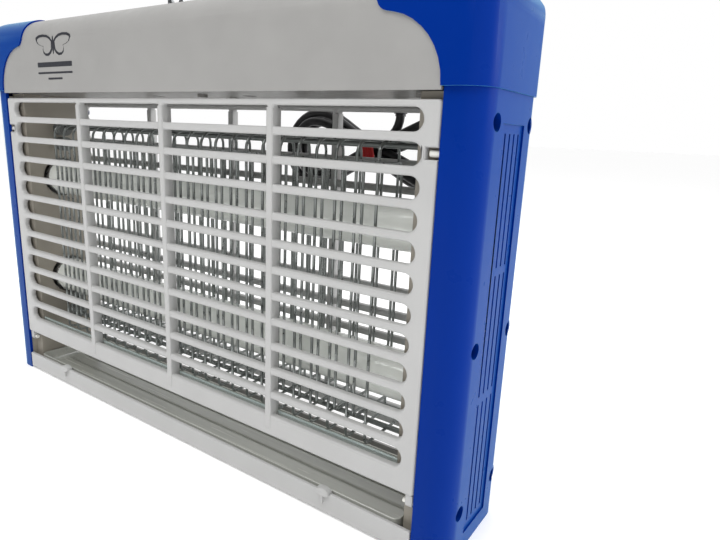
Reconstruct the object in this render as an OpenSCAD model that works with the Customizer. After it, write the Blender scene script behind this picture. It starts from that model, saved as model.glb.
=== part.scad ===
// Electric insect killer with two straight lamps, open at the front and the back.
// A hood and two end covers carry an electrified wire grid between two guards.
// The front guard swings down on two pins, and the tray below slides out to the front.
//
// X runs along the width, the front faces -Y and +Z is up. The origin lies on the
// resting surface, at the middle of the width and of the depth.

/* [Housing] */
// Width over the end covers
body_w = 385; // [381:1:392]
// Height of the housing, without the hanging tabs
body_h = 260; // [256:1:264]
// Depth between the outer faces of the two guards
body_d = 60; // [60:1:64]
// Thickness of the moulded walls
wall = 2; // [1.6:0.1:2.4]

/* [Guards] */
// Height of the lowest edge of a guard
guard_z0 = 31.1; // [31:0.1:34]
// Height of the top edge of a guard
guard_z1 = 207.7; // [206:0.1:208.2]
// Number of slots, one above another
slot_rows = 12; // [10:1:12]
// Height of one slot
slot_h = 9.8; // [8:0.1:11]
// Distance from one slot to the next
slot_pitch = 13.8; // [13:0.1:13.8]
// Distance between the upright bars
column_pitch = 82.8; // [80:0.1:84]

/* [Lamps] */
// Diameter of a lamp
lamp_d = 26; // [24:0.5:26]
// Length of a lamp over its caps, without the pins
lamp_len = 331.4; // [330:0.1:332]
// Height of the upper lamp
upper_lamp_z = 151.5; // [148:0.5:154]
// Height of the lower lamp
lower_lamp_z = 74.5; // [72:0.5:78]

/* [Killing grid] */
// Wires of the live set
live_wire_count = 24; // [14:1:24]
// Distance between two wires of one set
wire_pitch = 11.8; // [10:0.1:11.8]
// Thickness of a wire
wire_t = 1.6; // [1.2:0.1:2]

/* [Tray] */
// Height of the tray's rim
tray_rim_z = 12.9; // [11:0.1:14]
// Length of the pan
pan_len = 330; // [320:1:330]

/* [Mains cord] */
// Diameter of the cord
cord_d = 5; // [4.5:0.5:5]

/* [Hidden] */

$fn = 48;
touch = 0.01;

// Housing
end_x = body_w / 2;
cover_x = end_x - 0.9;
bay_x = end_x - 18.5;
guard_y = body_d / 2;
guard_t = 5;
cap_y = guard_y + 2;
hood_y = cap_y - 1;
rear_guard_y = guard_y - 2.5;
hood_z = 211;
cap_z = hood_z + 1.5;
cover_r = [12, 7];
cap_r = [13, 8];
shoulder_r = 18;
top_r = 17;

// Hanging tabs and screws of the deck
tab_gap = 40;
deck_screw_xs = [-155, 15, 155];

// Ogee joint between the hood and an end cover
ogee_start = [end_x - 19.3, hood_z + 2];
ogee_turn = 80;
ogee_r1 = 28;
ogee_run = 3;
ogee_r2 = 6;

// End frames
frame_x = 161;
frame_y = [-24, 21.9];
flange_x = bay_x + 0.5;
pan_bay_x = 166.5;
pan_bay_z = 30;

// Side vents and screws of the end covers
vent_ys = [-4.3, 0.95, 6.2, 11.45];
vent_groups = [[12.6, 73.4], [77.3, 134.1], [137.7, 195.8]];
vent_w = 1.5;
panel_y = [-9.7, 15.6];
panel_z = [8.4, 199.7];
screw_ys = [-16.5, 23.6];
screw_zs = [23.4, 103.8, 199.8];

// Guards
guard_half = bay_x - 0.6;
slot_end_x = 165.6;
upright_w = 4;
notch_z = [184.1, 189];
notch_x = 167.4;
hinge_y = -guard_y + 3.5;
hinge_z = guard_z0 - 4.7;
hinge_pin_r = 1.3;
ear_r = 2.2;
ear_x = [169, 172.8];
rear_screws = [[169.5, 40], [169.5, 201]];

// Grid: each wire is a closed loop round both lamps
live_z = [40.2, 191.4];
neutral_z = [51.5, 180.3];
wire_y = [19, 17.5];
wire_shift = [-2.7, -5.6];
wire_corner_r = 6;
rail_h = 4.6;
rail_t = 1.2;
rail_half = 157;
insulator_r = 5;

// Lamps
lamp_r = lamp_d / 2;
cap_len = 9;
pin_r = 1.18;
pin_gap = 12.7;
pin_len = 7;

// Tray
pan_y = 23.5;
pan_z = 2.5;
pan_wall = 1.5;
tab_x = 122;

// Cord: a hank with a waist hangs from the strain relief, and the plug hangs from the hank
cord_r = cord_d / 2;
relief_x = 113;
hank_y = [34.5, 49.5];
hank_z = [161, 207];
hank_x = [57, 150];
waist_x = [92, 102];
waist_z = [176, 192];
relief_z = 194;
cord_y = 42;
plug_x = 150;
plug_top_z = 138;
free_end = [
    [plug_x, cord_y, 161], [plug_x, cord_y, 155], [plug_x, cord_y, 149],
    [plug_x, cord_y, 143], [plug_x, cord_y, 138]
];

// ---------------------------------------------------------------- helpers

function arc(centre, r, from, to, steps = 8) =
    [for (i = [0:steps]) centre + r * [cos(from + (to - from) * i / steps),
                                       sin(from + (to - from) * i / steps)]];

// Rings of a tube of radius r round a route that runs in a plane of constant Y
function ring(p, dir, r, sides) =
    [for (k = [0:sides - 1]) let (a = 360 * k / sides)
        p + r * [dir[2] * cos(a), sin(a), -dir[0] * cos(a)]];

function heading(route, i) =
    let (d = route[min(i + 1, len(route) - 1)] - route[max(i - 1, 0)]) d / norm(d);

module tube(route, r, sides = 10) {
    n = len(route);
    points = [for (i = [0:n - 1]) each ring(route[i], heading(route, i), r, sides)];
    walls = [for (i = [0:n - 2]) for (k = [0:sides - 1]) let (m = (k + 1) % sides)
        [i * sides + k, i * sides + m, (i + 1) * sides + m, (i + 1) * sides + k]];
    start = [for (k = [sides - 1:-1:0]) k];
    end = [for (k = [0:sides - 1]) (n - 1) * sides + k];
    polyhedron(points, concat(walls, [start, end]), convexity = 4);
}

module box(lo, hi) {
    translate(lo) cube(hi - lo);
}

module rod_x(r, x0, x1, y, z) {
    translate([x0, y, z]) rotate([0, 90, 0]) cylinder(r = r, h = x1 - x0);
}

module rod_y(r, y0, y1, x, z) {
    translate([x, y0, z]) rotate([-90, 0, 0]) cylinder(r = r, h = y1 - y0);
}

// Extrude an outline drawn in Y and Z along X
module along_x(x0, x1) {
    translate([x0, 0, 0]) rotate([90, 0, 90]) linear_extrude(x1 - x0) children();
}

// Extrude an outline drawn in X and Z along Y
module along_y(y0, y1) {
    translate([0, y1, 0]) rotate([90, 0, 0]) linear_extrude(y1 - y0) children();
}

module both_ends() {
    children();
    mirror([1, 0, 0]) children();
}

// Upright rectangle with two rounded top corners
module arch(half, z0, z1, r) {
    translate([-half, z0]) square([2 * half, z1 - z0 - r]);
    translate([-half + r, z0]) square([2 * (half - r), z1 - z0]);
    for (side = [-1, 1])
        translate([side * (half - r), z1 - r]) circle(r);
}

// Rectangle with four rounded corners, centred on the origin
module round_rect(size, r) {
    square([size[0] - 2 * r, size[1]], center = true);
    square([size[0], size[1] - 2 * r], center = true);
    for (x = [-1, 1], y = [-1, 1])
        translate([x * (size[0] / 2 - r), y * (size[1] / 2 - r)]) circle(r);
}

// ---------------------------------------------------------------- hood

// Everything outside the S-shaped joint line at the right end, in X and Z
module ogee_outline() {
    c1 = ogee_start - [ogee_r1, 0];
    first = arc(c1, ogee_r1, 0, ogee_turn);
    step = ogee_run * [-sin(ogee_turn), cos(ogee_turn)];
    knee = first[len(first) - 1] + step;
    c2 = knee + ogee_r2 * [cos(ogee_turn), sin(ogee_turn)];
    second = arc(c2, ogee_r2, 180 + ogee_turn, 180);
    last = second[len(second) - 1];
    polygon(concat([[ogee_start[0], 0]], first, second,
                   [[last[0], body_h + 10], [end_x + 10, body_h + 10], [end_x + 10, 0]]));
}

module hood() {
    color("gainsboro") difference() {
        along_x(-bay_x, bay_x) arch(hood_y, hood_z, body_h - 1, top_r - 1);
        along_x(-bay_x - 1, bay_x + 1)
            arch(hood_y - wall, hood_z - 1, body_h - 1 - wall, top_r - 1 - wall);
        both_ends() along_y(-cap_y - 1, cap_y + 1) ogee_outline();
        rod_y(4.2, 0, cap_y + 1, relief_x, 228);
        for (side = [-1, 1])
            translate([side * tab_gap / 2, 0, body_h - 10]) cylinder(r = 2.2, h = 20);
    }
}

module hood_deck() {
    color("silver") difference() {
        box([-160, -hood_y + wall, hood_z], [160, hood_y - wall, hood_z + wall]);
        for (x = deck_screw_xs, y = [-12, 12])
            translate([x, y, hood_z - 1]) cylinder(r = 1.6, h = 4);
        for (x = [-40, 40])
            translate([x, 0, hood_z - 1]) cylinder(r = 4, h = 4);
    }
}

// ---------------------------------------------------------------- end covers

// Plan of the right end cover, from the bay out to the side face. The corner radii
// are the front one and the rear one, of which the front one is the larger.
module cover_plan(x0, x1, half_y, r) {
    intersection() {
        union() {
            translate([x0, -half_y]) square([x1 - r[0] - x0, 2 * half_y]);
            translate([x0, 0]) square([x1 - r[1] - x0, half_y]);
            translate([x0, r[0] - half_y]) square([x1 - x0, 2 * half_y - r[0] - r[1]]);
            translate([x1 - r[0], r[0] - half_y]) circle(r[0]);
            translate([x1 - r[1], half_y - r[1]]) circle(r[1]);
        }
        translate([x0, -half_y - 1]) square([x1 - x0 + 1, 2 * half_y + 2]);
    }
}

module cover_shell() {
    difference() {
        linear_extrude(cap_z) cover_plan(bay_x, cover_x, guard_y, cover_r);
        translate([0, 0, wall]) linear_extrude(cap_z)
            cover_plan(bay_x - 1, cover_x - wall, guard_y - wall, cover_r - [wall, wall]);
    }
}

// Cap with all its corners rounded; skin is how far inside the outer face it lies
module cap_solid(skin, x0, z0) {
    intersection() {
        along_x(x0, end_x - skin) arch(cap_y - skin, z0, body_h - skin, top_r - skin);
        along_y(-cap_y, cap_y) arch(end_x - skin, z0, body_h - skin, shoulder_r - skin);
        linear_extrude(body_h)
            cover_plan(x0, end_x - skin, cap_y - skin, cap_r - [skin, skin]);
    }
}

module cap_shell() {
    difference() {
        intersection() {
            cap_solid(0, 100, cap_z);
            along_y(-cap_y, cap_y) ogee_outline();
        }
        cap_solid(wall, 90, cap_z - 1);
    }
}

// Ledge that joins the narrow lower shell to the wider cap
module cap_ledge() {
    difference() {
        translate([0, 0, cap_z]) linear_extrude(wall)
            cover_plan(bay_x, end_x - wall, cap_y - wall, cap_r - [wall, wall]);
        translate([0, 0, cap_z - 1]) linear_extrude(wall + 2)
            cover_plan(bay_x - 1, cover_x - wall, guard_y - wall, cover_r - [wall, wall]);
    }
}

module end_cover() {
    color("royalblue") difference() {
        union() {
            cover_shell();
            cap_shell();
            cap_ledge();
            for (y = screw_ys, z = screw_zs)
                rod_x(5, flange_x + wall, cover_x - wall / 2, y, z);
        }
        for (y = screw_ys, z = screw_zs) {
            rod_x(3.75, end_x - 8, end_x + 1, y, z);
            rod_x(1.7, bay_x, end_x, y, z);
        }
        box([cover_x - 0.9, panel_y[0], panel_z[0]], [end_x + 1, panel_y[1], panel_z[1]]);
        for (y = vent_ys, group = vent_groups)
            box([cover_x - wall - 1, y - vent_w / 2, group[0]],
                [end_x + 1, y + vent_w / 2, group[1]]);
    }
}

module right_end_cover() {
    end_cover();
}

module left_end_cover() {
    mirror([1, 0, 0]) end_cover();
}

// ---------------------------------------------------------------- end frames

// Inner wall of one end: it carries the lampholders, the grid and the tray runner
module end_frame() {
    color("darkgray") difference() {
        union() {
            box([frame_x, frame_y[0], pan_bay_z], [frame_x + wall, frame_y[1], hood_z]);
            box([frame_x, frame_y[0], pan_bay_z],
                [pan_bay_x + wall, frame_y[1], pan_bay_z + wall]);
            box([pan_bay_x, frame_y[0], wall],
                [pan_bay_x + wall, frame_y[1], pan_bay_z + wall]);
            for (y = [frame_y[0], frame_y[1] - wall]) {
                box([frame_x, y, pan_bay_z], [flange_x + wall, y + wall, hood_z]);
                box([pan_bay_x, y, wall], [flange_x + wall, y + wall, pan_bay_z + wall]);
            }
            box([flange_x, -guard_y + wall, wall], [flange_x + wall, guard_y - wall, 209]);
            box([frame_x + 0.5, -1.5, pan_bay_z], [frame_x + 6, 1.5, 58]);
        }
        for (z = [upper_lamp_z, lower_lamp_z]) {
            rod_x(lamp_r + 1.5, frame_x - 1, frame_x + wall + 1, 0, z);
            rod_x(lamp_r + 1.3, frame_x + wall, flange_x + wall + 1, 0, z);
        }
        for (y = screw_ys, z = screw_zs)
            rod_x(1.7, flange_x - 1, flange_x + wall + 1, y, z);
        for (screw = rear_screws)
            rod_y(1.3, 15, 30, screw[0], screw[1]);
    }
}

module right_end_frame() {
    end_frame();
}

module left_end_frame() {
    mirror([1, 0, 0]) end_frame();
}

// ---------------------------------------------------------------- guards

// One slot on the right half, square at an upright and round at the outer end
module slot(column, z) {
    x0 = column * column_pitch + upright_w / 2;
    x1 = column == 0 ? column_pitch - upright_w / 2 : slot_end_x - slot_h / 2;
    box([x0, -guard_y - 1, z - slot_h / 2], [x1, -guard_y + guard_t + 1, z + slot_h / 2]);
    if (column == 1)
        rod_y(slot_h / 2, -guard_y - 1, -guard_y + guard_t + 1, x1, z);
}

module guard() {
    top_slot_z = guard_z1 - 7.9;
    difference() {
        box([-guard_half, -guard_y, guard_z0], [guard_half, -guard_y + guard_t, guard_z1]);
        both_ends() {
            for (row = [0:slot_rows - 1], column = [0, 1])
                slot(column, top_slot_z - row * slot_pitch);
            box([notch_x, -guard_y - 1, notch_z[0]],
                [guard_half + 1, -guard_y + guard_t + 1, notch_z[1]]);
        }
    }
}

module front_guard() {
    color("lightgray") guard();
}

// Ears at the lower corners of the front guard, which turn on the hinge pins
module guard_hinge_ears() {
    color("lightgray") both_ends() difference() {
        union() {
            rod_x(ear_r, ear_x[0], ear_x[1], hinge_y, hinge_z);
            box([ear_x[0], hinge_y - ear_r, hinge_z], [ear_x[1], hinge_y + 2, guard_z0]);
        }
        rod_x(hinge_pin_r + 0.25, ear_x[0] - 1, ear_x[1] + 1, hinge_y, hinge_z);
    }
}

module rear_guard() {
    color("lightgray") difference() {
        translate([0, rear_guard_y - guard_y, 0]) mirror([0, 1, 0]) guard();
        both_ends() for (screw = rear_screws)
            rod_y(1.3, 0, guard_y, screw[0], screw[1]);
    }
}

module rear_guard_screws() {
    color("dimgray") both_ends() for (screw = rear_screws) {
        rod_y(1.2, frame_y[1] - wall, rear_guard_y, screw[0], screw[1]);
        rod_y(2.4, rear_guard_y, rear_guard_y + 1.2, screw[0], screw[1]);
    }
}

module guard_hinge_pins() {
    color("whitesmoke") both_ends()
        rod_x(hinge_pin_r, 167.2, flange_x, hinge_y, hinge_z);
}

module guard_catch_pegs() {
    color("whitesmoke") both_ends()
        rod_x(1.4, 168.6, flange_x, hinge_y, (notch_z[0] + notch_z[1]) / 2);
}

// ---------------------------------------------------------------- killing grid

module wire_loop(x, y, z) {
    z_mid = (z[0] + z[1]) / 2;
    height = z[1] - z[0];
    translate([0, 0, z_mid]) along_x(x - wire_t / 2, x + wire_t / 2) difference() {
        round_rect([2 * y + wire_t, height], wire_corner_r);
        round_rect([2 * y - wire_t, height - 2 * wire_t], wire_corner_r - wire_t);
    }
}

module wire_set(count, set, z) {
    for (i = [0:count - 1])
        wire_loop((i + 0.5 - (count - 1) / 2) * wire_pitch + wire_shift[set], wire_y[set], z);
}

module rail(z) {
    box([-rail_half, -rail_t / 2, z], [rail_half, rail_t / 2, z + rail_h]);
}

module live_wires() {
    color("slategray") wire_set(live_wire_count, 0, live_z);
}

module neutral_wires() {
    color("lightslategray") wire_set(live_wire_count - 1, 1, neutral_z);
}

module rails(z) {
    rail(z[0] + wire_t);
    rail(z[1] - wire_t - rail_h);
}

module live_rails() {
    color("slategray") rails(live_z);
}

module neutral_rails() {
    color("lightslategray") rails(neutral_z);
}

// Round posts on the end frames that the rails end in
module grid_insulators() {
    color("gray") both_ends() for (set = [live_z, neutral_z])
        for (z = [set[0] + wire_t + rail_h / 2, set[1] - wire_t - rail_h / 2])
            difference() {
                rod_x(insulator_r, 152, frame_x, 0, z);
                box([151, -rail_t / 2, z - rail_h / 2], [rail_half, rail_t / 2, z + rail_h / 2]);
            }
}

// Clear strips low behind each guard, which keep fingers off the ends of the wires
module clear_sills() {
    color("paleturquoise") for (y = [frame_y[0] + 0.5, frame_y[1] - 1.5])
        box([-frame_x, y, 36], [frame_x, y + 1.5, 43.5]);
}

// ---------------------------------------------------------------- lamps

module lamp_tube(z) {
    half = lamp_len / 2 - 2;
    color("honeydew") difference() {
        rod_x(lamp_r - 0.3, -half, half, 0, z);
        rod_x(lamp_r - 1.1, -half - 1, half + 1, 0, z);
    }
}

module lamp_caps(z) {
    half = lamp_len / 2;
    color("silver") both_ends() {
        difference() {
            rod_x(lamp_r, half - cap_len, half, 0, z);
            rod_x(lamp_r - 0.3, half - cap_len - 1, half - 2, 0, z);
        }
        for (side = [-1, 1])
            rod_x(pin_r, half - touch, half + pin_len, side * pin_gap / 2, z);
    }
}

module upper_lamp_tube() {
    lamp_tube(upper_lamp_z);
}

module upper_lamp_caps() {
    lamp_caps(upper_lamp_z);
}

module lower_lamp_tube() {
    lamp_tube(lower_lamp_z);
}

module lower_lamp_caps() {
    lamp_caps(lower_lamp_z);
}

// Each holder has a ring-shaped groove, in which the two pins turn
module lampholders(z) {
    face = lamp_len / 2 + 0.6;
    color("whitesmoke") both_ends() difference() {
        rod_x(lamp_r + 1, face, cover_x - wall, 0, z);
        difference() {
            rod_x(pin_gap / 2 + pin_r + 0.5, face - 1, face + pin_len + 0.5, 0, z);
            rod_x(pin_gap / 2 - pin_r - 0.5, face - 2, face + pin_len + 1, 0, z);
        }
    }
}

module upper_lampholders() {
    lampholders(upper_lamp_z);
}

module lower_lampholders() {
    lampholders(lower_lamp_z);
}

// ---------------------------------------------------------------- tray

module collection_tray() {
    half = pan_len / 2;
    floor_z = pan_z + pan_wall;
    color("lightgray") {
        difference() {
            box([-half, -pan_y, pan_z], [half, pan_y, tray_rim_z]);
            box([-half + pan_wall, -pan_y + pan_wall, floor_z],
                [half - pan_wall, pan_y - pan_wall, tray_rim_z + 1]);
        }
        for (y = [-13.5, -4.5, 4.5, 13.5])
            box([-half + 1, y - 0.5, pan_z + 1], [half - 1, y + 0.5, floor_z + 1.2]);
        box([-150, -guard_y + 1, pan_z], [150, -pan_y + 1, floor_z]);
        box([-bay_x + 0.8, -guard_y, 1], [bay_x - 0.8, -guard_y + wall, tray_rim_z]);
        for (side = [-1, 1]) {
            rod_y(3.5, -cap_y, -guard_y + 4, side * tab_x, tray_rim_z);
            box([side * tab_x - 0.8, -cap_y, 5], [side * tab_x + 0.8, -guard_y + 1, tray_rim_z]);
        }
    }
}

module tray_runners() {
    color("darkgray") both_ends()
        box([158, -pan_y + 1, 0.8], [pan_bay_x + touch, frame_y[1], 2.2]);
}

module rear_rail() {
    color("lightgray")
        box([-bay_x, guard_y - wall, 1], [bay_x, guard_y, tray_rim_z]);
}

// ---------------------------------------------------------------- electrics

module ballast(x) {
    floor_z = hood_z + wall;
    color("dimgray") {
        box([x - 21, -15, floor_z], [x + 21, 15, floor_z + 27]);
        box([x - 38, -13, floor_z], [x + 38, 13, floor_z + 1.2]);
    }
    color("tan") box([x - 14, -18, floor_z + 5], [x + 14, 18, floor_z + 22]);
}

module left_ballast() {
    ballast(-73);
}

module right_ballast() {
    ballast(62);
}

module step_up_transformer() {
    floor_z = hood_z + wall;
    color("dimgray") box([-34, -16, floor_z], [6, 16, floor_z + 30]);
    color("gold") box([-26, -20, floor_z + 5], [-2, 20, floor_z + 25]);
}

module starters() {
    color("white") both_ends() rod_x(10.5, 118, 152, -8, hood_z + wall + 12);
}

module starter_sockets() {
    color("ivory") both_ends()
        box([112, -19, hood_z + wall], [118, 3, hood_z + wall + 23]);
}

module terminal_block() {
    color("whitesmoke") difference() {
        box([108, 8, hood_z + wall], [140, 22, hood_z + wall + 12]);
        for (x = [114, 124, 134])
            translate([x, 15, hood_z + wall + 4]) cylinder(r = 2, h = 10);
    }
}

module hood_wiring() {
    color("black") for (lead = [[-150, 104, 24, 216], [-150, 104, -24, 216], [-60, 104, 24, 221]])
        rod_x(1.4, lead[0], lead[1], lead[2], lead[3]);
}

// ---------------------------------------------------------------- fasteners

module cover_screws() {
    color("dimgray") both_ends() for (y = screw_ys, z = screw_zs) {
        rod_x(1.5, flange_x - 0.5, end_x - 7, y, z);
        rod_x(3.3, end_x - 8, end_x - 5.8, y, z);
    }
}

module deck_screws() {
    color("silver") for (x = deck_screw_xs, y = [-12, 12])
        translate([x, y, hood_z - 1.6]) {
            cylinder(r = 2.8, h = 1.6);
            cylinder(r = 1.5, h = 6);
        }
}

// Flat steel tabs on the top, with a hole for a chain hook
module hanging_tabs() {
    color("silver") for (side = [-1, 1]) translate([side * tab_gap / 2, 0, 0]) difference() {
        union() {
            box([-9, -7, body_h - 1], [9, 7, body_h + 0.6]);
            box([-7, -1, body_h - 0.5], [7, 1, body_h + 7]);
            rod_y(7, -1, 1, 0, body_h + 7);
        }
        rod_y(4, -2, 2, 0, body_h + 7);
        box([-20, -20, body_h - 20], [20, 20, body_h - 1]);
    }
}

// Studs below the tabs, each with its nut inside the hood
module hanging_screws() {
    color("silver") for (side = [-1, 1]) translate([side * tab_gap / 2, 0, body_h - 9]) {
        cylinder(r = 2, h = 8);
        translate([0, 0, 2.8]) cylinder(r = 4, h = 3.2, $fn = 6);
    }
}

// ---------------------------------------------------------------- mains cord

module cord_gland() {
    color("black") {
        rod_y(4.2, hood_y - wall - 3, hood_y, relief_x, 228);
        rod_y(6.5, hood_y, hood_y + 2, relief_x, 228);
        rod_y(6.5, hood_y - wall - 3, hood_y - wall, relief_x, 228);
    }
}

// Elbow that turns the cord straight down behind the hood
module strain_relief() {
    color("black") {
        rod_y(4, hood_y + 2, cord_y, relief_x, 228);
        translate([relief_x, cord_y, 228]) sphere(r = 4);
        translate([relief_x, cord_y, relief_z]) cylinder(r1 = 3, r2 = 4, h = 228 - relief_z);
    }
}

// Outline of the hank in X and Z, with flats where the cord enters and leaves it
module hank_outline() {
    mid = (hank_z[0] + hank_z[1]) / 2;
    for (x = hank_x)
        translate([x, mid]) circle((hank_z[1] - hank_z[0]) / 2);
    polygon([[hank_x[0], hank_z[0]], [waist_x[0], waist_z[0]], [waist_x[1], waist_z[0]],
             [hank_x[1] - 4, hank_z[0]], [hank_x[1] + 4, hank_z[0]], [hank_x[1] + 4, mid],
             [hank_x[1], hank_z[1]], [relief_x + 5, relief_z], [relief_x - 5, relief_z],
             [waist_x[1], waist_z[1]], [waist_x[0], waist_z[1]], [hank_x[0], hank_z[1]]]);
}

module cord_hank() {
    color("black") along_y(hank_y[0], hank_y[1]) hank_outline();
}

module cord_free_end() {
    color("black") tube(free_end, cord_r);
}

// Band round the middle of the hank
module cord_tie() {
    color("crimson") difference() {
        box([waist_x[0], hank_y[0] - 1.2, waist_z[0] - 1.2],
            [waist_x[1], hank_y[1] + 1.2, waist_z[1] + 1.2]);
        box([waist_x[0] - 1, hank_y[0], waist_z[0]], [waist_x[1] + 1, hank_y[1], waist_z[1]]);
    }
}

module mains_plug() {
    color("black") {
        translate([plug_x, cord_y, plug_top_z - 16]) cylinder(r1 = 5, r2 = 3.4, h = 16);
        along_y(cord_y - 7, cord_y + 7) translate([plug_x, plug_top_z - 34])
            round_rect([35, 40], 6);
    }
}

module plug_pins() {
    color("silver") for (side = [-1, 1])
        translate([plug_x + side * 9.3, cord_y, plug_top_z - 54 - 19]) {
            translate([0, 0, 2]) cylinder(r = 2, h = 17);
            translate([0, 0, 2]) sphere(r = 2);
        }
}

hood();
hood_deck();
left_end_cover();
right_end_cover();
left_end_frame();
right_end_frame();
front_guard();
guard_hinge_ears();
rear_guard();
guard_hinge_pins();
guard_catch_pegs();
rear_guard_screws();
live_wires();
neutral_wires();
live_rails();
neutral_rails();
grid_insulators();
clear_sills();
upper_lamp_tube();
upper_lamp_caps();
lower_lamp_tube();
lower_lamp_caps();
upper_lampholders();
lower_lampholders();
collection_tray();
tray_runners();
rear_rail();
left_ballast();
right_ballast();
step_up_transformer();
starters();
starter_sockets();
terminal_block();
hood_wiring();
cover_screws();
deck_screws();
hanging_tabs();
hanging_screws();
cord_gland();
strain_relief();
cord_hank();
cord_free_end();
cord_tie();
mains_plug();
plug_pins();
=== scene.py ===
"""Visual model of the electric insect killer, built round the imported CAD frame."""
import math

import bmesh
import bpy
from mathutils import Matrix, Vector


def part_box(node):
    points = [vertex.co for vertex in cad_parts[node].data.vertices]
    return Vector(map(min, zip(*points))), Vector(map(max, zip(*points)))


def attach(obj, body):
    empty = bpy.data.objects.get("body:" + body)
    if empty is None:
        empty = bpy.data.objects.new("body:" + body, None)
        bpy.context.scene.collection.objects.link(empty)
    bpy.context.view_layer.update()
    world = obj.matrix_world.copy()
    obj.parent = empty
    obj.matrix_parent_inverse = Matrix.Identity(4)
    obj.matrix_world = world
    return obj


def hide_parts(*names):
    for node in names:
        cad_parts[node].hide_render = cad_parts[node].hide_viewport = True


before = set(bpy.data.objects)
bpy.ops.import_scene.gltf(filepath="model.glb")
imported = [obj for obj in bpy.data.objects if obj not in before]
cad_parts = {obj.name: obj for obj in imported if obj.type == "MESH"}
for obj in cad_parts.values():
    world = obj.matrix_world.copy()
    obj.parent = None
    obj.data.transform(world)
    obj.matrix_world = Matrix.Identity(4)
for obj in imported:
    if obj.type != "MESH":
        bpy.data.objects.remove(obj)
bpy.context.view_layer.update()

MM = 0.001
scene = bpy.context.scene


# ---------------------------------------------------------------- camera

# Place in metres, then turn about the vertical, tilt from straight down and roll, in degrees
CAMERA_PLACE = (0.2764, -0.2358, 0.1925)
CAMERA_TURN, CAMERA_TILT, CAMERA_ROLL = 33.75, 76.59, 2.571
LENS_LENGTH, SENSOR_WIDTH = 28.22, 36


def build_camera():
    camera = bpy.data.cameras.new("camera")
    camera.lens = LENS_LENGTH
    camera.sensor_width = SENSOR_WIDTH
    camera_object = bpy.data.objects.new("camera", camera)
    scene.collection.objects.link(camera_object)
    camera_object.matrix_world = (
        Matrix.Translation(CAMERA_PLACE)
        @ Matrix.Rotation(math.radians(CAMERA_TURN), 4, "Z")
        @ Matrix.Rotation(math.radians(CAMERA_TILT), 4, "X")
        @ Matrix.Rotation(math.radians(CAMERA_ROLL), 4, "Z")
    )
    scene.camera = camera_object


build_camera()


# ---------------------------------------------------------------- materials

def linear(rgb):
    """Scene colour of an sRGB colour given as 0 to 255."""
    return [((c / 255 + 0.055) / 1.055) ** 2.4 if c > 10 else c / 255 / 12.92 for c in rgb]


def ramp(tree, source, low, high, start=0.3, end=0.7):
    """Blend of two values or colours along a grey source."""
    node = tree.nodes.new("ShaderNodeValToRGB")
    for stop, place, value in zip(node.color_ramp.elements, (start, end), (low, high)):
        stop.position = place
        stop.color = [*value, 1] if isinstance(value, (list, tuple)) else [value] * 3 + [1]
    tree.links.new(source, node.inputs["Fac"])
    return node.outputs["Color"]


def noise(tree, coordinates, scale, detail, stretch):
    """Noise pattern over the object's own coordinates, with about scale features per metre."""
    mapping = tree.nodes.new("ShaderNodeMapping")
    mapping.inputs["Scale"].default_value = stretch
    tree.links.new(coordinates, mapping.inputs["Vector"])
    node = tree.nodes.new("ShaderNodeTexNoise")
    node.inputs["Scale"].default_value = scale
    node.inputs["Detail"].default_value = detail
    tree.links.new(mapping.outputs["Vector"], node.inputs["Vector"])
    return node.outputs["Fac"]


def material(name, colour, roughness, mottle_and_painted_streaks=0.05, patch_and_streak_scale=45, spread=0.07, grain=0.12,
             grain_scale=2600, grain_depth=0.00004, stretch=(1, 1, 1), **sockets):
    """Procedural surface: mottled colour, uneven gloss and a fine bump. Stretched, the colour
    patches become streaks; on the pan these are painted reflection streaks.
    """
    result = bpy.data.materials.new(name)
    result.use_nodes = True
    tree = result.node_tree
    shader = tree.nodes["Principled BSDF"]
    place = tree.nodes.new("ShaderNodeTexCoord").outputs["Object"]
    base = linear(colour)
    # Colour patches, which the pan's stretch turns into painted reflection streaks
    patches_and_streaks = noise(tree, place, patch_and_streak_scale, 5, stretch)
    tree.links.new(ramp(tree, patches_and_streaks, [c * (1 - mottle_and_painted_streaks) for c in base],
                        [min(1, c * (1 + mottle_and_painted_streaks)) for c in base]), shader.inputs["Base Color"])
    gloss = noise(tree, place, patch_and_streak_scale * 4, 3, stretch)
    tree.links.new(ramp(tree, gloss, max(0.02, roughness - spread), roughness + spread),
                   shader.inputs["Roughness"])
    bump = tree.nodes.new("ShaderNodeBump")
    bump.inputs["Strength"].default_value = grain
    bump.inputs["Distance"].default_value = grain_depth
    tree.links.new(noise(tree, place, grain_scale, 2, stretch), bump.inputs["Height"])
    tree.links.new(bump.outputs["Normal"], shader.inputs["Normal"])
    for socket, value in sockets.items():
        shader.inputs[socket.replace("_", " ")].default_value = value
    return result


HOUSING = material("housing_plastic", (153, 152, 150), 0.45, mottle_and_painted_streaks=0.03, grain=0.25)
GUARD = material("guard_plastic", (182, 182, 181), 0.4, mottle_and_painted_streaks=0.03, grain=0.15)
BLUE = material("cover_plastic", (0, 42, 132), 0.3, mottle_and_painted_streaks=0.02, patch_and_streak_scale=30, spread=0.03,
                grain=0.05, Specular_IOR_Level=0.05, Sheen_Weight=0.38, Sheen_Roughness=0.35,
                Sheen_Tint=(0.18, 0.8, 1.0, 1.0))
FRAME = material("frame_plastic", (154, 148, 137), 0.5, mottle_and_painted_streaks=0.12, patch_and_streak_scale=26, grain=0.3)
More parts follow.
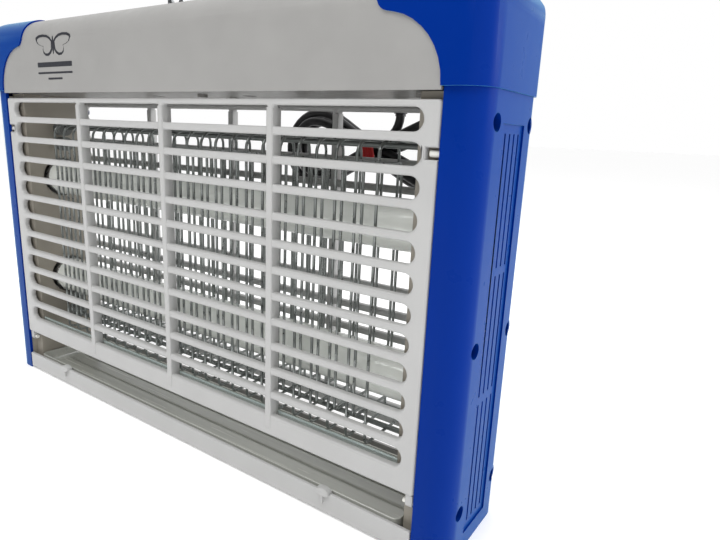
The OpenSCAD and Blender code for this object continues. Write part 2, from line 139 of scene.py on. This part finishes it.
# Pan: its colour is streaked along its length, painted reflection streaks
PAN = material("pan_plastic_painted_streaks", (178, 179, 172), 0.22, mottle_and_painted_streaks=0.2, patch_and_streak_scale=90, spread=0.1,
               stretch=(0.05, 1, 1), Specular_IOR_Level=0.7)
PEG = material("peg_plastic", (232, 231, 224), 0.4, mottle_and_painted_streaks=0.04, grain=0.1)
WIRE = material("wire_steel", (138, 142, 140), 0.34, mottle_and_painted_streaks=0.25, patch_and_streak_scale=120, spread=0.12,
                Metallic=0.85)
STRIP = material("strip_steel", (120, 124, 122), 0.38, mottle_and_painted_streaks=0.2, patch_and_streak_scale=90, spread=0.1,
                 stretch=(0.2, 1, 1), Metallic=0.8)
POST = material("post_plastic", (104, 106, 105), 0.5, mottle_and_painted_streaks=0.08, grain=0.2)
SILL = material("clear_strip", (226, 238, 235), 0.08, mottle_and_painted_streaks=0.05, spread=0.04, grain=0.03,
                Alpha=0.3, Coat_Weight=0.8, Coat_Roughness=0.05)
# Strip edge: more opaque than the strip, a painted highlight along each top edge
SILL_HIGHLIGHT = material("clear_strip_painted_highlight", (222, 236, 234), 0.12, mottle_and_painted_streaks=0.05, spread=0.04, grain=0.03,
                Alpha=0.8, Coat_Weight=0.8, Coat_Roughness=0.05)
PHOSPHOR = material("lamp_phosphor", (240, 243, 237), 0.16, mottle_and_painted_streaks=0.03, spread=0.04, grain=0.03,
                    Coat_Weight=0.6, Coat_Roughness=0.06)
ALUMINIUM = material("cap_aluminium", (196, 198, 200), 0.3, mottle_and_painted_streaks=0.06, patch_and_streak_scale=200,
                     stretch=(0.2, 1, 1), Metallic=1.0)
HOLDER = material("holder_plastic", (222, 222, 214), 0.42, mottle_and_painted_streaks=0.04, grain=0.15)
# Deck colour darker than the hood's plastic: painted shade for the gap under the hood
DECK_SHADE = material("deck_painted_shade", (134, 132, 129), 0.4, mottle_and_painted_streaks=0.05, grain=0.5, grain_scale=1500)
IRON = material("core_iron", (72, 72, 76), 0.55, mottle_and_painted_streaks=0.2, patch_and_streak_scale=150, grain=0.6,
                stretch=(1, 1, 6), Metallic=0.5)
IVORY = material("socket_plastic", (226, 220, 200), 0.45, mottle_and_painted_streaks=0.04, grain=0.15)
CAN = material("starter_can", (230, 230, 226), 0.35, mottle_and_painted_streaks=0.03, grain=0.1)
SCREW = material("screw_zinc", (70, 76, 92), 0.36, mottle_and_painted_streaks=0.15, patch_and_streak_scale=300, Metallic=0.7)
TAB = material("tab_zinc", (186, 188, 190), 0.28, mottle_and_painted_streaks=0.1, patch_and_streak_scale=160, Metallic=1.0)
CORD = material("cord_pvc", (24, 24, 26), 0.42, mottle_and_painted_streaks=0.15, patch_and_streak_scale=120, grain=0.15)
BAND = material("band_rubber", (196, 26, 26), 0.45, mottle_and_painted_streaks=0.1, patch_and_streak_scale=90, grain=0.25)
PLUG = material("plug_pvc", (30, 30, 33), 0.46, mottle_and_painted_streaks=0.12, patch_and_streak_scale=90, grain=0.35)
NICKEL = material("pin_nickel", (206, 206, 208), 0.2, mottle_and_painted_streaks=0.05, patch_and_streak_scale=200, Metallic=1.0)
PRINT = material("print_ink", (32, 34, 42), 0.5, mottle_and_painted_streaks=0.1, patch_and_streak_scale=120, grain=0.1)


# ---------------------------------------------------------------- mesh helpers

def add_piece(name, mesh, look, body, replaced=(), angle=35):
    """Put a mesh in the scene as a piece that rides on a body."""
    piece = bpy.data.objects.new(name, mesh)
    scene.collection.objects.link(piece)
    mesh.materials.clear()
    mesh.materials.append(look)
    if not mesh.has_custom_normals:
        mesh.polygons.foreach_set("use_smooth", [True] * len(mesh.polygons))
        mesh.set_sharp_from_angle(angle=math.radians(angle))
    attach(piece, body)
    if replaced:
        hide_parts(*replaced)
    return piece


def applied(builder):
    """Mesh of an object with its modifiers or curve settings worked in."""
    scene.collection.objects.link(builder)
    graph = bpy.context.evaluated_depsgraph_get()
    mesh = bpy.data.meshes.new_from_object(builder.evaluated_get(graph))
    data = builder.data
    bpy.data.objects.remove(builder)
    if isinstance(data, bpy.types.Curve):
        bpy.data.curves.remove(data)
    else:
        bpy.data.meshes.remove(data)
    return mesh


def softened(node, width, segments=2, limit=32):
    """The CAD node's mesh with its sharp edges rounded."""
    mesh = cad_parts[node].data.copy()
    work = bmesh.new()
    work.from_mesh(mesh)
    bmesh.ops.remove_doubles(work, verts=work.verts, dist=2e-6)
    bmesh.ops.dissolve_limit(work, angle_limit=math.radians(0.6), verts=work.verts,
                             edges=work.edges)
    work.to_mesh(mesh)
    work.free()
    mesh.polygons.foreach_set("use_smooth", [True] * len(mesh.polygons))
    builder = bpy.data.objects.new("builder", mesh)
    bevel = builder.modifiers.new("bevel", "BEVEL")
    bevel.width = width
    bevel.segments = segments
    bevel.limit_method = "ANGLE"
    bevel.angle_limit = math.radians(limit)
    bevel.miter_outer = "MITER_ARC"
    builder.modifiers.new("flat faces stay flat", "WEIGHTED_NORMAL")
    return applied(builder)


def outline_curve(outlines, depth, bevel, steps):
    """Plate from closed outlines, with rounded edges; the first is the outer one."""
    curve = bpy.data.curves.new("builder", "CURVE")
    curve.dimensions = "2D"
    curve.fill_mode = "BOTH"
    curve.extrude = depth / 2 - bevel
    curve.bevel_depth = bevel
    curve.offset = -bevel
    curve.bevel_resolution = steps
    for points in outlines:
        spline = curve.splines.new("POLY")
        spline.points.add(len(points) - 1)
        for point, (x, y) in zip(spline.points, points):
            point.co = (x, y, 0, 1)
        spline.use_cyclic_u = True
    return bpy.data.objects.new("builder", curve)


def stood_up(mesh, y):
    """Turn a flat mesh from X and Y into X and Z, at a depth."""
    mesh.transform(Matrix.Translation((0, y, 0)) @ Matrix.Rotation(math.radians(90), 4, "X"))
    return mesh


def upright_plate(outlines, y_low, y_high, bevel, steps):
    """Plate whose outlines are in X and Z, between two depths."""
    mesh = applied(outline_curve(outlines, y_high - y_low, bevel, steps))
    return stood_up(mesh, (y_low + y_high) / 2)


def rounded_box(x0, x1, z0, z1, radii, steps=6):
    """Corners of a rectangle, given the radii at the low-left corner and on round it."""
    centres = [(x0, z0, 1, 1, 180), (x1, z0, -1, 1, 270), (x1, z1, -1, -1, 0), (x0, z1, 1, -1, 90)]
    points = []
    for (x, z, sx, sz, start), r in zip(centres, radii):
        if r == 0:
            points.append((x, z))
            continue
        for i in range(steps + 1):
            a = math.radians(start + 90 * i / steps)
            points.append((x + sx * r + r * math.cos(a), z + sz * r + r * math.sin(a)))
    return points


def wires(name, routes, radius, look, body, replaced=(), cyclic=True, sides=2):
    """Round wires along routes of points."""
    curve = bpy.data.curves.new("builder", "CURVE")
    curve.dimensions = "3D"
    curve.bevel_depth = radius
    curve.bevel_resolution = sides
    curve.use_fill_caps = True
    for points in routes:
        spline = curve.splines.new("POLY")
        spline.points.add(len(points) - 1)
        for point, place in zip(spline.points, points):
            point.co = (*place, 1)
        spline.use_cyclic_u = cyclic
    return add_piece(name, applied(bpy.data.objects.new("builder", curve)), look, body,
                     replaced, 60)


def lofted(name, rings):
    """Closed mesh through rings of points, with a cap at each end."""
    mesh = bpy.data.meshes.new(name)
    work = bmesh.new()
    loops = [[work.verts.new(place) for place in ring] for ring in rings]
    for a, b in zip(loops, loops[1:]):
        for k in range(len(a)):
            n = (k + 1) % len(a)
            work.faces.new((a[k], a[n], b[n], b[k]))
    work.faces.new(loops[0])
    work.faces.new(loops[-1])
    bmesh.ops.recalc_face_normals(work, faces=work.faces)
    work.to_mesh(mesh)
    work.free()
    return mesh


def swept(route, radii, sides=24):
    """Tube mesh along a route with its own radius at each point."""
    rings = []
    for i, (place, radius) in enumerate(zip(route, radii)):
        ahead = Vector(route[min(i + 1, len(route) - 1)]) - Vector(route[max(i - 1, 0)])
        ahead.normalize()
        side = Vector((1, 0, 0)) if abs(ahead.x) < 0.9 else Vector((0, 1, 0))
        across = ahead.cross(side).normalized()
        side = across.cross(ahead)
        angles = [2 * math.pi * k / sides for k in range(sides)]
        rings.append([Vector(place) + side * math.cos(a) * radius + across * math.sin(a) * radius
                      for a in angles])
    return lofted("swept", rings)


# ---------------------------------------------------------------- cord

# The hank is two lobes of turns on either side of a waist
LOBE_X = (0.057, 0.150)
WAIST_X = 0.097
HANK_Z = 0.184
CORD_Y = 0.042
BOOT_X = 0.113
LOBE_STEPS = 16
QUARTER_STEPS = 8
PLUG_SIDES = 48


def lobe(radius, y_start, y_end, is_left):
    """Half a turn of the hank round its left or right end."""
    x = LOBE_X[0] if is_left else LOBE_X[1]
    points = []
    for i in range(LOBE_STEPS + 1):
        t = i / LOBE_STEPS
        angle = math.pi * (t if is_left else 1 - t)
        dx = radius * math.sin(angle) * (-1 if is_left else 1)
        points.append((x + dx, y_start + (y_end - y_start) * t,
                       HANK_Z + radius * math.cos(angle)))
    return points


def span(start, end, count=10, y_rate=1.0):
    """S-shaped run from one point to another; a y_rate over 1 changes depth sooner."""
    points = []
    for i in range(1, count + 1):
        t = i / count
        ease = 0.5 - 0.5 * math.cos(math.pi * t)
        y_ease = min(1.0, ease * y_rate)
        points.append((start[0] + (end[0] - start[0]) * t,
                       start[1] + (end[1] - start[1]) * y_ease,
                       start[2] + (end[2] - start[2]) * ease))
    return points


def quarter(centre, radius, start, end, y):
    """Part of a circle in an upright plane of constant depth."""
    angles = [math.radians(start + (end - start) * i / QUARTER_STEPS)
              for i in range(QUARTER_STEPS + 1)]
    return [(centre[0] + radius * math.cos(a), y, centre[1] + radius * math.sin(a))
            for a in angles]


def cord_route():
    """Out of the strain relief, round the hank and down to the plug."""
    left, right = LOBE_X
    wide, tight = 0.0205, 0.0155
    near, middle, far = 0.037, CORD_Y, 0.047
    high, low = 0.1892, 0.1788
    # Ends of the hank: radius, then depth at the start and at the end of the half turn.
    # Runs along its top or bottom: depth, height at the waist, and radius of the end they reach.
    passes = [
        ("left", wide, middle, near), ("bottom", near, low, wide),
        ("right", wide, near, near), ("top", near, high, tight),
        ("left", tight, near, middle), ("bottom", middle, HANK_Z, tight),
        ("right", tight, middle, middle), ("top", far, HANK_Z, tight),
        ("left", tight, far, far), ("bottom", far, low, wide),
        ("right", wide, far, far), ("top", far, high, wide),
        ("left", wide, far, far),
    ]
    route = quarter((WAIST_X + 0.001, 0.2042), 0.015, 0, -90, middle)
    route += span(route[-1], (left, middle, HANK_Z + wide))
    for kind, *values in passes:
        if kind in ("left", "right"):
            radius, y_start, y_end = values
            route += lobe(radius, y_start, y_end, kind == "left")[1:]
        else:
            y, waist_z, radius = values
            sign, goal = (1, left) if kind == "top" else (-1, right)
            route += span(route[-1], (WAIST_X, y, waist_z))
            route += span(route[-1], (goal, y, HANK_Z + sign * radius))
    route += span(route[-1], (WAIST_X, middle, 0.1780), y_rate=2.0)
    route += span(route[-1], (0.130, middle, 0.1666), 8)
    route += quarter((0.130, 0.1466), 0.020, 90, 0, middle)[1:]
    route.append((0.150, middle, 0.1420))
    route.append((0.150, middle, 0.1375))
    return route


def build_band():
    """Loops of a rubber band round the waist of the hank."""
    low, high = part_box("cord_tie")
    inset, first_x, pitch, corner = 0.0011, 0.0935, 0.0017, 0.006
    y_half = (high.y - low.y) / 2 - inset
    z_half = (high.z - low.z) / 2 - inset
    ring = rounded_box(-y_half, y_half, -z_half, z_half, (corner,) * 4, 5)
    routes = []
    for i in range(5):
        x = first_x + pitch * i
        wave = 0.0006 * math.sin(x * 4000)
        routes.append([(x + wave * math.copysign(1, z), CORD_Y + y, HANK_Z + z)
                       for y, z in ring])
    return wires("cord_band", routes, 0.00105, BAND, "housing", ("cord_tie",))


def build_boot():
    """Elbow boot with ribs, where the cord leaves the hood."""
    bend_y, bend_z, bend_r = 0.033, 0.219, 0.009
    elbow = [(BOOT_X, y, bend_z + bend_r) for y in (0.031, 0.032, 0.0328)]
    elbow += [(BOOT_X, bend_y + bend_r * math.sin(a), bend_z + bend_r * math.cos(a))
              for a in [math.radians(15 * i) for i in range(7)]]
    radii = [0.0062, 0.0062, 0.0045] + [0.0042] * 7
    for i in range(6):
        top = 0.2184 - i * 0.0024
        rib = 0.0042 - 0.0001 * i
        groove = rib - 0.0008
        for drop, radius in ((0.0, rib), (0.0014, rib), (0.0015, groove), (0.0023, groove)):
            elbow.append((BOOT_X, CORD_Y, top - drop))
            radii.append(radius)
    elbow.append((BOOT_X, CORD_Y, 0.2036))
    radii.append(0.0030)
    return add_piece("strain_relief_boot", swept(elbow, radii), PLUG, "housing",
                     ("strain_relief",), 40)


def build_plug():
    """Plug body, widened from its neck, with finger ridges."""
    low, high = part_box("mains_plug")
    centre_x, centre_y = (low.x + high.x) / 2, (low.y + high.y) / 2
    # Drop from the top, half width, half depth and squareness of each ring, in millimetres
    shape = [(0.0, 3.2, 3.2, 2.0), (1.0, 3.6, 3.6, 2.0), (9.0, 4.4, 4.2, 2.0),
             (14.0, 6.5, 5.2, 2.3), (18.0, 11.0, 6.0, 2.8), (22.0, 14.5, 6.4, 3.2)]
    for i in range(5):
        drop = 25.0 + i * 3.0
        shape += [(drop, 15.6, 6.2, 3.4), (drop + 0.6, 16.0, 6.8, 3.4),
                  (drop + 1.6, 16.0, 6.8, 3.4), (drop + 2.2, 15.6, 6.2, 3.4)]
    shape += [(41.0, 17.0, 6.8, 3.6), (52.0, 17.3, 6.9, 3.8), (53.4, 17.0, 6.6, 3.8),
              (54.0, 16.2, 5.9, 3.8)]
    rings = []
    for drop, half_x, half_y, power in shape:
        ring = []
        for k in range(PLUG_SIDES):
            a = 2 * math.pi * k / PLUG_SIDES
            c, s = math.cos(a), math.sin(a)
            x = math.copysign(abs(c) ** (2 / power), c) * half_x * MM
            y = math.copysign(abs(s) ** (2 / power), s) * half_y * MM
            ring.append((centre_x + x, centre_y + y, high.z - drop * MM))
        rings.append(ring)
    return add_piece("plug_body", lofted("plug", rings), PLUG, "housing", ("mains_plug",),
                     30)


def build_cord():
    """The mains cord with its band, boot and plug."""
    route = cord_route()
    curve = bpy.data.curves.new("mains_cord", "CURVE")
    curve.dimensions = "3D"
    curve.bevel_depth = 0.005 / 2
    curve.bevel_resolution = 3
    curve.use_fill_caps = True
    spline = curve.splines.new("POLY")
    spline.points.add(len(route) - 1)
    for point, place in zip(spline.points, route):
        point.co = (*place, 1)
    spline.use_smooth = True
    curve.materials.append(CORD)
    cord = bpy.data.objects.new("mains_cord", curve)
    scene.collection.objects.link(cord)
    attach(cord, "housing")
    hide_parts("cord_hank", "cord_free_end")
    band = build_band()
    boot = build_boot()
    plug = build_plug()


build_cord()


# ---------------------------------------------------------------- hood and covers

def build_housing():
    add_piece("hood_shell", softened("hood", 0.0005), HOUSING, "housing", ("hood",))
    for side in ("left", "right"):
        add_piece(side + "_cover", softened(side + "_end_cover", 0.0006, 3), BLUE, "housing",
                  (side + "_end_cover",))
        add_piece(side + "_wall", softened(side + "_end_frame", 0.0004), FRAME, "housing",
                  (side + "_end_frame",))
    add_piece("rear_rail_strip", softened("rear_rail", 0.0004), HOUSING, "housing",
              ("rear_rail",))


build_housing()


def build_print():
    """Generic printed mark: an outlined moth over three plain bars."""
    x0, z0 = -0.1035, 0.2400
    ink, proud = 0.00012, 0.00002
    # Right wing, in millimetres from the middle of the moth
    wing = [(0.6, 2.4), (3.0, 4.6), (7.0, 6.3), (12.0, 6.9), (17.0, 6.6), (20.4, 5.4), (20.8, 4.0),
            (19.0, 1.6), (15.6, 0.2), (11.8, -0.5), (12.6, -2.4), (12.0, -4.6), (9.6, -6.2),
            (6.0, -6.4), (3.0, -5.0), (1.2, -3.0)]
    middle = (10.6, 0.4)
    inner = [(middle[0] + (x - middle[0]) * 0.85, middle[1] + (z - middle[1]) * 0.78)
             for x, z in wing]
    body = [(1.0 * math.cos(math.radians(30 * i)), 5.6 * math.sin(math.radians(30 * i)))
            for i in range(12)]
    shapes = [[[(x0 + side * x * MM, z0 + z * MM) for x, z in outline]
               for outline in (wing, inner)] for side in (1, -1)]
    shapes.append([[(x0 + x * MM, z0 + z * MM) for x, z in body]])
    # Half length, bottom and top of each bar
    for half, z_low, z_high in ((0.0205, 0.2268, 0.2298), (0.0205, 0.2226, 0.2238),
                                (0.0085, 0.2190, 0.2202)):
        shapes.append([rounded_box(x0 - half, x0 + half, z_low, z_high, (0.0004,) * 4, 2)])
    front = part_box("hood")[0].y
    for index, outlines in enumerate(shapes):
        mesh = stood_up(applied(outline_curve(outlines, ink, 0.0, 0)), front - proud)
        add_piece(f"print_{index}", mesh, PRINT, "housing")


build_print()


# ---------------------------------------------------------------- guards

GUARD_COLUMN = 0.0828


def guard_outlines():
    """Outer edge of a guard, then its slots, in X and Z."""
    low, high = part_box("front_guard")
    half, z0, z1 = high.x, low.z, high.z
    notch_low, notch_high, notch_x = 0.1841, 0.1890, 0.1674
    corner = 0.0012
    right = [(half, z0 + corner), (half, notch_low), (notch_x, notch_low), (notch_x, notch_high),
             (half, notch_high), (half, z1 - corner), (half - corner, z1)]
    outer = right + [(-x, z) for x, z in reversed(right)]
    outer += [(-half + corner, z0), (half - corner, z0)]
    outlines = [outer]
    rows, first_drop, pitch, height = 12, 0.0079, 0.0138, 0.0098
    upright, end = 0.0041, 0.1656
    r, end_r = 0.0009, 0.0049
    for row in range(rows):
        middle = z1 - first_drop - row * pitch
        low_z, high_z = middle - height / 2, middle + height / 2
        for side in (-1, 1):
            inner = sorted((side * upright / 2, side * (GUARD_COLUMN - upright / 2)))
            outlines.append(rounded_box(*inner, low_z, high_z, (r,) * 4, 3))
            outer_x = sorted((side * (GUARD_COLUMN + upright / 2), side * end))
            radii = (r, end_r, end_r, r) if side > 0 else (end_r, r, r, end_r)
            outlines.append(rounded_box(*outer_x, low_z, high_z, radii, 7))
    return outlines


def build_guards():
    """Both guards, each with three deep uprights across its slots."""
    outlines = guard_outlines()
    inset, fin_half, fin_gap = 0.0003, 0.0021, 0.004
    for name, body in (("front", "guard"), ("rear", "housing")):
        low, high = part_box(name + "_guard")
        mesh = upright_plate(outlines, low.y + inset, high.y - inset, 0.0013, 4)
        add_piece(name + "_grille", mesh, GUARD, body, (name + "_guard",), 50)
        face, depth = (low.y, 0.0064) if name == "front" else (high.y, -0.0049)
        y_low, y_high = sorted((face, face + depth))
        for index, x in enumerate((-GUARD_COLUMN, 0.0, GUARD_COLUMN)):
            plan = rounded_box(x - fin_half, x + fin_half, low.z + fin_gap, high.z - fin_gap,
                               (0.0003,) * 4, 2)
            fin = upright_plate([plan], y_low, y_high, 0.0005, 2)
            add_piece(f"{name}_upright_{index}", fin, GUARD, body, angle=40)
    add_piece("guard_ears", softened("guard_hinge_ears", 0.0003), GUARD, "guard",
              ("guard_hinge_ears",))


build_guards()


# ---------------------------------------------------------------- killing grid

def rods(low_x, high_x, y_values, z_values):
    """Routes of straight rods along X."""
    return [[(x, y, z) for x in (low_x, -0.08, 0, 0.08, high_x)]
            for y in y_values for z in z_values]


def build_grid():
    """Both sets of wire loops, the rails that join them, and the clear strips."""
    inset, corner, rail_r, highlight_r = 0.0008, 0.003, 0.0014, 0.0006
    for name, count, top_r in (("live_wires", 24, 0.0075), ("neutral_wires", 23, 0.003)):
        low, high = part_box(name)
        ring = rounded_box(low.y + inset, high.y - inset, low.z + inset, high.z - inset,
                           (corner, corner, top_r, top_r), 8)
        first, last = low.x + inset, high.x - inset
        routes = [[(first + (last - first) * i / (count - 1), y, z) for y, z in ring]
                  for i in range(count)]
        wires(name + "_round", routes, 0.00078, WIRE, "housing", (name,))
    for name in ("live_rails", "neutral_rails"):
        low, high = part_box(name)
        routes = rods(low.x, high.x, (0,), (low.z + rail_r, high.z - rail_r))
        wires(name + "_rods", routes, rail_r, STRIP, "housing", (name,),
              cyclic=False, sides=4)
    # Clear strips, with a more opaque rod along each top edge as a painted highlight
    add_piece("sill_strips", softened("clear_sills", 0.0003), SILL, "housing",
              ("clear_sills",))
    low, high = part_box("clear_sills")
    highlight_routes = rods(low.x, high.x, (low.y + highlight_r, high.y - highlight_r), (high.z - highlight_r,))
    wires("sill_highlight_rods", highlight_routes, highlight_r, SILL_HIGHLIGHT, "housing", cyclic=False, sides=3)


build_grid()


# ---------------------------------------------------------------- lamps

def build_lamps():
    for level in ("upper", "lower"):
        add_piece(level + "_caps", softened(level + "_lamp_caps", 0.0004), ALUMINIUM,
                  level + "_lamp", (level + "_lamp_caps",))
        add_piece(level + "_holders", softened(level + "_lampholders", 0.0006, 3), HOLDER,
                  "housing", (level + "_lampholders",))


build_lamps()


# ---------------------------------------------------------------- tray

PAN_LOW, RIM_Z = 0.0026, 0.0129


def open_pan(x_half, y_low, y_high, wall, cove):
    """Shallow pan with thin walls, round upright corners and a coved bottom."""
    lip = 0.0002
    corner, mouth_corner, inner_corner = 0.004, 0.0034, 0.003

    def ring(inset, z, radius):
        plan = rounded_box(-x_half + inset, x_half - inset, y_low + inset, y_high - inset,
                           (radius,) * 4, 6)
        return [(x, y, z) for x, y in plan]

    def cove_ring(step, extra, radius):
        a = math.radians(22.5 * step)
        return ring(extra + cove * (1 - math.sin(a)),
                    PAN_LOW + extra + cove * (1 - math.cos(a)), radius)

    rings = [ring(cove, PAN_LOW, 0.002)]
    rings += [cove_ring(step, 0, corner) for step in range(1, 5)]
    rings.append(ring(0, RIM_Z - lip, corner))
    rings.append(ring(lip, RIM_Z, corner))
    rings.append(ring(wall - lip, RIM_Z, mouth_corner))
    rings.append(ring(wall, RIM_Z - lip, mouth_corner))
    rings += [cove_ring(step, wall, inner_corner) for step in range(4, -1, -1)]
    return lofted("pan", rings)


def build_tray():
    """Pan with its ribs, and the front band with its finger tabs."""
    low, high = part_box("collection_tray")
    add_piece("tray_pan", open_pan(0.1648, -0.0262, 0.0234, 0.0009, 0.0035), PAN, "tray",
              ("collection_tray",), 30)
    ribs = [[(x, y, 0.0036) for x in (-0.158, -0.08, 0, 0.08, 0.158)]
            for y in (-0.0150, -0.0045, 0.0060, 0.0150)]
    wires("tray_ribs", ribs, 0.0008, PAN, "tray", cyclic=False, sides=3)
    band_front, band_back = -0.0300, -0.0280
    band = upright_plate([rounded_box(-high.x, high.x, low.z, RIM_Z, (0.0008,) * 4, 3)],
                         band_front, band_back, 0.0005, 2)
    add_piece("tray_band", band, GUARD, "tray", angle=40)
    foot = upright_plate([rounded_box(-0.150, 0.150, low.z + 0.0006, 0.0032, (0.0005,) * 4, 2)],
                         band_back - 0.0004, -0.0250, 0.0004, 1)
    add_piece("tray_joint", foot, GUARD, "tray", angle=40)
    tab_x, tab_half, tab_height, web_half = 0.122, 0.0044, 0.0023, 0.0007
    for side, x in (("left", -tab_x), ("right", tab_x)):
        angles = [math.radians(15 * i) for i in range(24)]
        plan = [(x + tab_half * math.cos(a), RIM_Z + 0.0002 + tab_height * math.sin(a))
                for a in angles]
        tab = upright_plate([plan], low.y + 0.0002, -0.0274, 0.0008, 4)
        add_piece(side + "_tab", tab, GUARD, "tray", angle=50)
        plan = rounded_box(x - web_half, x + web_half, 0.0068, RIM_Z - 0.0004, (0.0003,) * 4, 2)
        web = upright_plate([plan], low.y + 0.0004, -0.0290, 0.0004, 2)
        add_piece(side + "_tab_web", web, GUARD, "tray", angle=40)


build_tray()


# ---------------------------------------------------------------- carried-over nodes

KEPT = {
    # The deck and its screws take the deck colour, painted shade for the gap under the hood
    "hood_deck": DECK_SHADE, "deck_screws": DECK_SHADE, "cover_screws": SCREW, "rear_guard_screws": SCREW,
    "guard_hinge_pins": PEG, "guard_catch_pegs": PEG, "grid_insulators": POST,
    "upper_lamp_tube": PHOSPHOR, "lower_lamp_tube": PHOSPHOR, "tray_runners": FRAME,
    "left_ballast": IRON, "right_ballast": IRON, "step_up_transformer": IRON,
    "starters": CAN, "starter_sockets": IVORY, "terminal_block": IVORY, "hood_wiring": CORD,
    "hanging_tabs": TAB, "hanging_screws": TAB, "cord_gland": PLUG, "plug_pins": NICKEL,
}
for node, look in KEPT.items():
    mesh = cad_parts[node].data
    mesh.materials.clear()
    mesh.materials.append(look)


# ---------------------------------------------------------------- studio

FLOOR_SIZE = 30
LIGHT_AIM = (0, 0, 0.13)


def build_world():
    """Soft light from one side, and plain white where the camera looks past the floor."""
    world = bpy.data.worlds.new("studio")
    world.use_nodes = True
    tree = world.node_tree
    direction = tree.nodes.new("ShaderNodeTexCoord").outputs["Generated"]
    dot = tree.nodes.new("ShaderNodeVectorMath")
    dot.operation = "DOT_PRODUCT"
    dot.inputs[1].default_value = (0.55, 0.83, 0.0)
    tree.links.new(direction, dot.inputs[0])
    spread = tree.nodes.new("ShaderNodeMapRange")
    spread.inputs["From Min"].default_value = -0.85
    spread.inputs["From Max"].default_value = -0.25
    tree.links.new(dot.outputs["Value"], spread.inputs["Value"])
    shade = ramp(tree, spread.outputs["Result"], 0.12, 1.0, 0.0, 1.0)
    seen = tree.nodes.new("ShaderNodeMix")
    seen.data_type = "RGBA"
    path = tree.nodes.new("ShaderNodeLightPath")
    tree.links.new(path.outputs["Is Camera Ray"], seen.inputs["Factor"])
    lit, looked_at = [socket for socket in seen.inputs if socket.type == "RGBA"]
    looked_at.default_value = (1, 1, 1, 1)
    tree.links.new(shade, lit)
    mixed = next(socket for socket in seen.outputs if socket.type == "RGBA")
    background = tree.nodes["Background"]
    tree.links.new(mixed, background.inputs["Color"])
    background.inputs["Strength"].default_value = 1.0
    scene.world = world
    scene.view_settings.view_transform = "Standard"


def build_floor():
    mesh = bpy.data.meshes.new("floor")
    work = bmesh.new()
    bmesh.ops.create_grid(work, x_segments=1, y_segments=1, size=FLOOR_SIZE)
    work.to_mesh(mesh)
    work.free()
    floor = bpy.data.objects.new("floor", mesh)
    scene.collection.objects.link(floor)
    mesh.materials.append(material("floor_paper", (252, 252, 252), 0.8, mottle_and_painted_streaks=0.004,
                                   patch_and_streak_scale=3, grain=0.05, Specular_IOR_Level=0.0,
                                   Emission_Color=(1, 1, 1, 1), Emission_Strength=0.15))


def build_lights():
    """Two area lights that face the middle of the object."""
    for name, place, energy, size in (("key", (-0.2, -0.9, 1.5), 15, 1.0),
                                      ("side", (1.3, 0.6, 0.7), 9, 0.9)):
        light = bpy.data.lights.new(name, "AREA")
        light.energy = energy
        light.size = size
        lamp = bpy.data.objects.new(name, light)
        lamp.location = place
        aim = Vector(LIGHT_AIM) - Vector(place)
        lamp.rotation_euler = aim.to_track_quat("-Z", "Y").to_euler()
        scene.collection.objects.link(lamp)


build_world()
build_floor()
build_lights()
